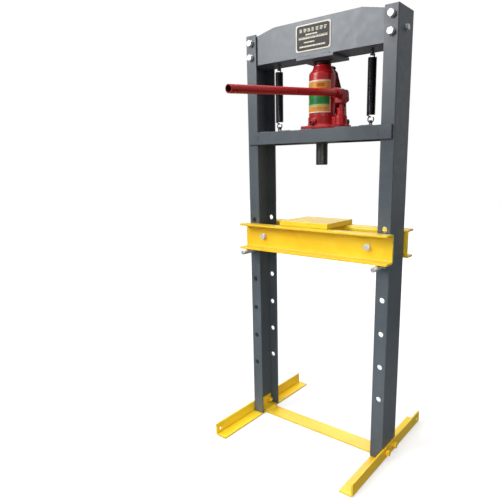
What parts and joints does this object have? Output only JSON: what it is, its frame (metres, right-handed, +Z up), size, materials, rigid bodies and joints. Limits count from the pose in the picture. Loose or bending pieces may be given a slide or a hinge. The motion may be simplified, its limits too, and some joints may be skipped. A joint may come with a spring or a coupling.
{
  "type": "hydraulic shop press",
  "caption": "H-frame workshop press: a hand-pumped bottle jack pushes a sliding bolster and press pin down onto an adjustable bed between two channel uprights.",
  "frame": {"origin": "on the floor, midway between the two uprights and midway between their front and rear flanges", "axes": "+X across the press to the pump side, +Y from front to back, +Z up along the ram axis"},
  "size_m": [0.5248, 0.7079, 1.267],
  "materials": {
    "slate_paint": "dark slate grey semi-gloss paint",
    "head_paint": "slate grey semi-gloss paint",
    "yellow_paint": "yellow gloss paint",
    "red_paint": "red gloss enamel",
    "zinc": "bright zinc plating",
    "dark_steel": "dark machined steel",
    "ground_steel": "ground steel",
    "spring_steel": "black oiled spring steel",
    "nameplate": "printed bronze-coloured plate with plain bars",
    "rubber": "black rubber"
  },
  "bodies": {
    "frame": {"foot_bolt_left_front": "zinc", "foot_bolt_left_rear": "zinc", "foot_bolt_right_front": "zinc", "foot_bolt_right_rear": "zinc", "foot_brace": "yellow_paint", "foot_left": "yellow_paint", "foot_right": "yellow_paint", "head_bolt_left_lower": "zinc", "head_bolt_left_upper": "zinc", "head_bolt_right_lower": "zinc", "head_bolt_right_upper": "zinc", "head_bottom_plate": "head_paint", "head_end_plate_left": "head_paint", "head_end_plate_right": "head_paint", "head_front_plate": "head_paint", "head_rear_plate": "head_paint", "head_side_bolt_left": "zinc", "head_side_bolt_right": "zinc", "jack_bearing_plate": "slate_paint", "jack_ram": "ground_steel", "nameplate": "nameplate", "ram_seal": "rubber", "return_spring_left": "spring_steel", "return_spring_right": "spring_steel", "upright_left": "slate_paint", "upright_right": "slate_paint"},
    "screw": {"extension_screw": "dark_steel"},
    "bolster": {"bolster_front_plate": "slate_paint", "bolster_rear_plate": "slate_paint", "bolster_top_plate": "slate_paint", "bolster_bottom_plate": "slate_paint", "bolster_guide_left": "slate_paint", "bolster_guide_right": "slate_paint", "press_pin": "dark_steel", "jack_base": "red_paint", "jack_cylinder": "ground_steel", "jack_reservoir": "red_paint", "jack_top_cap": "red_paint", "pump_cylinder": "red_paint", "filler_plug": "rubber", "stay_strap": "red_paint", "link_foot_pin": "zinc"},
    "valve": {"release_valve": "dark_steel"},
    "piston": {"pump_piston": "ground_steel"},
    "link": {"pump_link": "red_paint", "link_top_pin": "zinc"},
    "socket": {"handle_socket": "red_paint", "piston_pin": "zinc"},
    "handle": {"handle_tube": "red_paint"},
    "bed": {"bed_front_channel": "yellow_paint", "bed_rear_channel": "yellow_paint", "bed_spacer_left": "yellow_paint", "bed_spacer_right": "yellow_paint", "bed_bolt_left": "zinc", "bed_bolt_right": "zinc"},
    "plate": {"arbor_plate": "yellow_paint"},
    "pin_left": {"bed_pin_left": "zinc"},
    "pin_right": {"bed_pin_right": "zinc"}
  },
  "joints": [
    {"name": "bolster_travel", "type": "slide", "parent": "frame", "child": "bolster", "axis": [0, 0, -1], "range_m": [0, 0.1], "stiffness_N_per_m": 2400, "springref_m": -0.12, "deforming": ["return_spring_left", "return_spring_right"]},
    {"name": "handle_swing", "type": "hinge", "parent": "link", "child": "socket", "pos_m": [0.063, 0.016, 1.052], "axis": [1, 0, 0], "range_deg": [-22, 18]},
    {"name": "link_rock", "type": "hinge", "parent": "bolster", "child": "link", "pos_m": [0.063, 0.022, 0.99], "axis": [1, 0, 0], "range_deg": [-2.1, 1.8]},
    {"name": "pump_stroke", "type": "slide", "parent": "bolster", "child": "piston", "axis": [0, 0, 1], "range_m": [-0.006, 0.0072]},
    {"name": "handle_pull", "type": "slide", "parent": "socket", "child": "handle", "axis": [0, -0.9962, -0.0872], "range_m": [0, 0.06]},
    {"name": "release_valve_turn", "type": "hinge", "parent": "bolster", "child": "valve", "pos_m": [-0.004, -0.05, 0.9885], "axis": [0, -1, 0], "range_deg": [0, 270]},
    {"name": "extension_screw_turn", "type": "hinge", "parent": "frame", "child": "screw", "pos_m": [0, 0, 1.155], "axis": [0, 0, 1], "range_deg": [0, 270]},
    {"name": "bed_lift", "type": "slide", "parent": "frame", "child": "bed", "axis": [0, 0, 1], "range_m": [0, 0.05]},
    {"name": "arbor_plate_slide", "type": "slide", "parent": "bed", "child": "plate", "axis": [1, 0, 0], "range_m": [-0.06, 0.09]},
    {"name": "bed_pin_left_pull", "type": "slide", "parent": "frame", "child": "pin_left", "axis": [0, -1, 0], "range_m": [0, 0.12]},
    {"name": "bed_pin_right_pull", "type": "slide", "parent": "frame", "child": "pin_right", "axis": [0, -1, 0], "range_m": [0, 0.12]}
  ],
  "couplings": [
    {"joint": "link_rock", "follows": "handle_swing", "ratio": 0.092},
    {"joint": "pump_stroke", "follows": "handle_swing", "m_per_rad": -0.0181}
  ]
}
